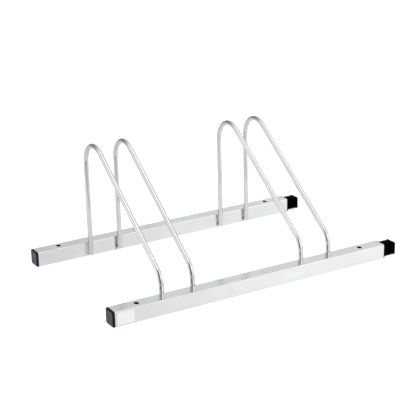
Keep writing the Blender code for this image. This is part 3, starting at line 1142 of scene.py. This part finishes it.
# brighter towards the right of the rack, a little dimmer towards the camera
xs = g.math("MINIMUM", g.math("MAXIMUM", x, -0.9), 0.9)
ys = g.math("MINIMUM", g.math("MAXIMUM", y, -1.2), 0.9)
glow = g.math("MULTIPLY_ADD", xs, 0.345, 1.063)
glow = g.math("MULTIPLY_ADD", ys, -0.023, glow)
glow = g.math("MULTIPLY_ADD", g.math("MULTIPLY", ys, ys), -0.024, glow)
glow = g.math("MULTIPLY_ADD", g.math("MULTIPLY", xs, ys), -0.069, glow)
for strength, px, py, wx, wy in POOLS:
    u = g.math("MULTIPLY", g.math("SUBTRACT", x, px), 1 / wx)
    v = g.math("MULTIPLY", g.math("SUBTRACT", y, py), 1 / wy)
    off = g.math("MULTIPLY_ADD", u, u, g.math("MULTIPLY", v, v))
    pool = g.math("EXPONENT", g.math("MULTIPLY", off, -1.0))
    glow = g.math("MULTIPLY_ADD", pool, strength, glow)
glow = g.math("MAXIMUM", glow, 0.05)
glow = g.math("MULTIPLY", glow, g.ramp(y, 0.30, 0.90, 1.0, 0.80))
for centre in (FRONT_Y, REAR_Y):
    off = g.math("ABSOLUTE", g.math("SUBTRACT", y, centre))
    # painted shade under each rail, seen only in reflections
    shade_under_rail = g.ramp(off, 0.010, 0.020, 0.85, 1.0)
    beyond = g.ramp(g.math("ABSOLUTE", x), 0.29, 0.32)
    glow = g.math("MULTIPLY", glow, g.math("MAXIMUM", shade_under_rail, beyond))
emit = g.add("ShaderNodeEmission")
g.wire(glow, emit.inputs["Strength"])
out = g.add("ShaderNodeOutputMaterial")
g.links.new(emit.outputs[0], out.inputs["Surface"])
sheet.data.materials.append(mat)
sheet.visible_camera = False
sheet.visible_diffuse = False
sheet.visible_transmission = False
sheet.visible_volume_scatter = False
sheet.visible_shadow = False

# A black panel stands close by on the left in front, so each hoop mirrors it
# in another direction. Only reflections show it.
PANEL_COVER = 0.86
PANEL_RIGHT = Vector((-0.240, -0.630, 0.0))
PANEL_LEFT = Vector((-0.750, -0.200, 0.0))
work = bmesh.new()
corners = [PANEL_RIGHT, PANEL_LEFT, PANEL_LEFT + Vector((0, 0, 1.2)), PANEL_RIGHT + Vector((0, 0, 1.2))]
work.faces.new([work.verts.new(corner) for corner in corners])
mesh = bpy.data.meshes.new("black_panel")
work.to_mesh(mesh)
work.free()
panel = bpy.data.objects.new("black_panel", mesh)
scene.collection.objects.link(panel)
mat = bpy.data.materials.new("black_panel")
mat.use_nodes = True
g = Graph(mat.node_tree)
g.nodes.clear()
place = g.add("ShaderNodeNewGeometry").outputs["Position"]
x, y, z = g.split(place)
along = PANEL_LEFT - PANEL_RIGHT
share = g.math(
    "DIVIDE", g.dot(g.vector_math("SUBTRACT", place, tuple(PANEL_RIGHT)), tuple(along)), along.length_squared
)
cover = g.math("MULTIPLY", g.ramp(share, 0.0, 0.22), g.ramp(share, 1.0, 0.72))
cover = g.math("MULTIPLY", cover, g.ramp(z, 1.10, 0.50, 0.0, PANEL_COVER))
emit = g.add("ShaderNodeEmission")
emit.inputs["Strength"].default_value = 0.08
clear = g.add("ShaderNodeBsdfTransparent")
blend = g.add("ShaderNodeMixShader")
g.wire(cover, blend.inputs[0])
g.links.new(clear.outputs[0], blend.inputs[1])
g.links.new(emit.outputs[0], blend.inputs[2])
out = g.add("ShaderNodeOutputMaterial")
g.links.new(blend.outputs[0], out.inputs["Surface"])
panel.data.materials.append(mat)
panel.visible_camera = False
panel.visible_diffuse = False
panel.visible_transmission = False
panel.visible_volume_scatter = False
panel.visible_shadow = False

# Room: soft boxes and black flags round the rack, each a smooth patch of light
# or shade as (strength, tightness, direction).
PATCHES = [
    (1.26, 3.2, (0.287, -0.343, 0.894)),     # big box overhead
    (1.29, 8.5, (-0.944, 0.299, 0.140)),     # strip box on the left
    (0.24, 5.2, (0.653, 0.623, 0.431)),      # light wall behind on the right
    (-0.42, 5.1, (-0.322, 0.859, 0.398)),    # grey wall behind on the left
    (-0.20, 10.0, (-0.648, -0.720, 0.247)),  # dark side of the camera
    (-0.38, 8.4, (0.663, -0.130, 0.737)),    # flag between box and wall
    # the boxes' uneven faces and the gaps between them
    (-0.20, 30.0, (-0.862, 0.499, 0.087)),
    (0.26, 30.0, (-0.891, 0.332, 0.309)),
    (-0.12, 30.0, (-0.693, 0.023, 0.720)),
    (-0.06, 30.0, (-0.486, -0.090, 0.869)),
    (0.14, 30.0, (0.047, -0.176, 0.983)),
    (-0.04, 30.0, (0.320, -0.141, 0.937)),
    (0.03, 30.0, (0.562, -0.057, 0.825)),
    (-0.145, 30.0, (0.748, 0.068, 0.660)),
    (-0.14, 30.0, (0.891, 0.389, 0.234)),
    (-0.07, 22.0, (-0.857, -0.400, 0.326)),
    (-0.125, 22.0, (-0.485, 0.840, 0.242)),
    # tall box in front on the right, with flags over it
    (0.494, 22.0, (0.818, -0.498, 0.286)),
    (0.491, 22.0, (0.167, -0.870, 0.463)),
    (0.486, 10.0, (0.102, -0.948, 0.301)),
    (-0.459, 22.0, (0.429, -0.504, 0.749)),
    (-0.20, 22.0, (0.550, 0.514, 0.659)),
    (-0.254, 22.0, (-0.170, -0.474, 0.864)),
    (0.246, 22.0, (0.802, -0.584, 0.124)),
    (0.174, 10.0, (-0.315, -0.932, 0.177)),
    (0.174, 22.0, (0.111, 0.144, 0.983)),
    (-0.169, 22.0, (-0.616, -0.401, 0.678)),
    (-0.144, 22.0, (-0.939, -0.185, 0.291)),
    (-0.128, 22.0, (-0.589, 0.575, 0.568)),
    (0.114, 22.0, (-0.275, 0.114, 0.955)),
    # far wall: its dark foot, and the light that the tops of the rails mirror
    (-0.35, 60.0, (0.500, 0.865, 0.040)),
    (0.11, 200.0, (0.495, 0.810, 0.315)),
    (0.06, 30.0, (0.450, 0.820, 0.350)),
    (0.14, 22.0, (-0.235, 0.962, 0.140)),
]
world = bpy.data.worlds.new("studio")
scene.world = world
world.use_nodes = True
g = Graph(world.node_tree)
g.nodes.clear()
way = g.add("ShaderNodeTexCoord").outputs["Generated"]
room = 0.578
for strength, tightness, towards in PATCHES:
    near = g.math("SUBTRACT", g.dot(way, Vector(towards).normalized()), 1.0)
    patch = g.math("EXPONENT", g.math("MULTIPLY", near, tightness))
    room = g.math("MULTIPLY_ADD", patch, strength, room)
room = g.math("MAXIMUM", room, 0.05)
paths = g.add("ShaderNodeLightPath")
room = g.math(
    "ADD",
    g.math("MULTIPLY", room, g.math("SUBTRACT", 1.0, paths.outputs["Is Camera Ray"])),
    g.math("MULTIPLY", 1.12, paths.outputs["Is Camera Ray"]),
)
background = g.add("ShaderNodeBackground")
g.wire(room, background.inputs["Strength"])
background.inputs["Color"].default_value = (0.995, 0.998, 1.0, 1.0)
out = g.add("ShaderNodeOutputWorld")
g.links.new(background.outputs[0], out.inputs["Surface"])

scene.view_settings.view_transform = "Standard"
scene.view_settings.look = "None"
scene.view_settings.exposure = 0.0
scene.view_settings.gamma = 1.0
